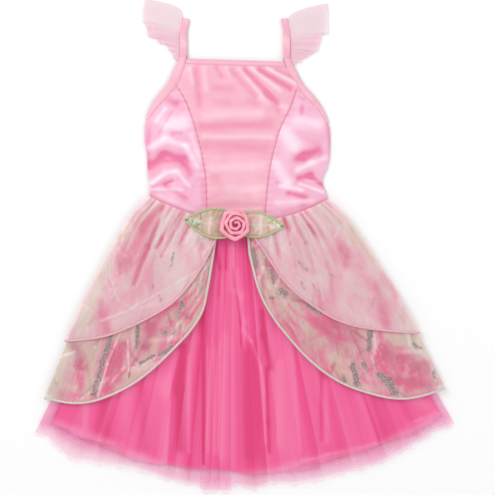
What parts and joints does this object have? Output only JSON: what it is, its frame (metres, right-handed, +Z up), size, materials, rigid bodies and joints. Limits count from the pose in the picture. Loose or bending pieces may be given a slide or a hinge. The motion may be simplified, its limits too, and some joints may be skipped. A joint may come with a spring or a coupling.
{
  "type": "child's princess costume dress laid flat",
  "caption": "Pink princess costume dress with satin bodice, flutter sleeves, tulle skirt and sheer overskirts, laid flat.",
  "frame": {"origin": "on the surface that the dress lies on, under the middle of its outline", "axes": "+Z up from the surface; +Y towards the neck; +X to the right as seen from above"},
  "size_m": [0.6382, 0.7528, 0.0415],
  "materials": {
    "satin": "satin",
    "centre_satin": "satin",
    "binding": "satin",
    "sleeve_organza": "sheer",
    "pink_organza": "sheer",
    "film_organza": "glossy",
    "tulle": "sheer",
    "lining": "matte",
    "silver_thread": "satin",
    "pink_thread": "satin",
    "green_thread": "satin",
    "leaf_organza": "sheer",
    "rose_ribbon": "satin"
  },
  "bodies": {
    "root": {"bodice_front_centre": "centre_satin", "bodice_front_left": "satin", "bodice_front_right": "satin", "bodice_back_left": "centre_satin", "bodice_back_right": "centre_satin", "neck_binding": "binding", "armhole_binding_left": "binding", "armhole_binding_right": "binding", "strap_left": "binding", "strap_right": "binding", "sleeve_left": "sleeve_organza", "sleeve_right": "sleeve_organza", "overskirt_upper_back": "pink_organza", "overskirt_upper_left": "pink_organza", "overskirt_upper_right": "pink_organza", "overskirt_lower_back": "film_organza", "overskirt_lower_left": "film_organza", "overskirt_lower_right": "film_organza", "edging_upper_left": "pink_thread", "edging_upper_right": "pink_thread", "edging_lower_left": "silver_thread", "edging_lower_right": "silver_thread", "tulle_front": "tulle", "tulle_back": "tulle", "lining_front": "lining", "lining_back": "lining", "leaf_left": "leaf_organza", "leaf_right": "leaf_organza", "leaf_edge_left": "green_thread", "leaf_edge_right": "green_thread", "rose": "rose_ribbon"}
  },
  "joints": []
}
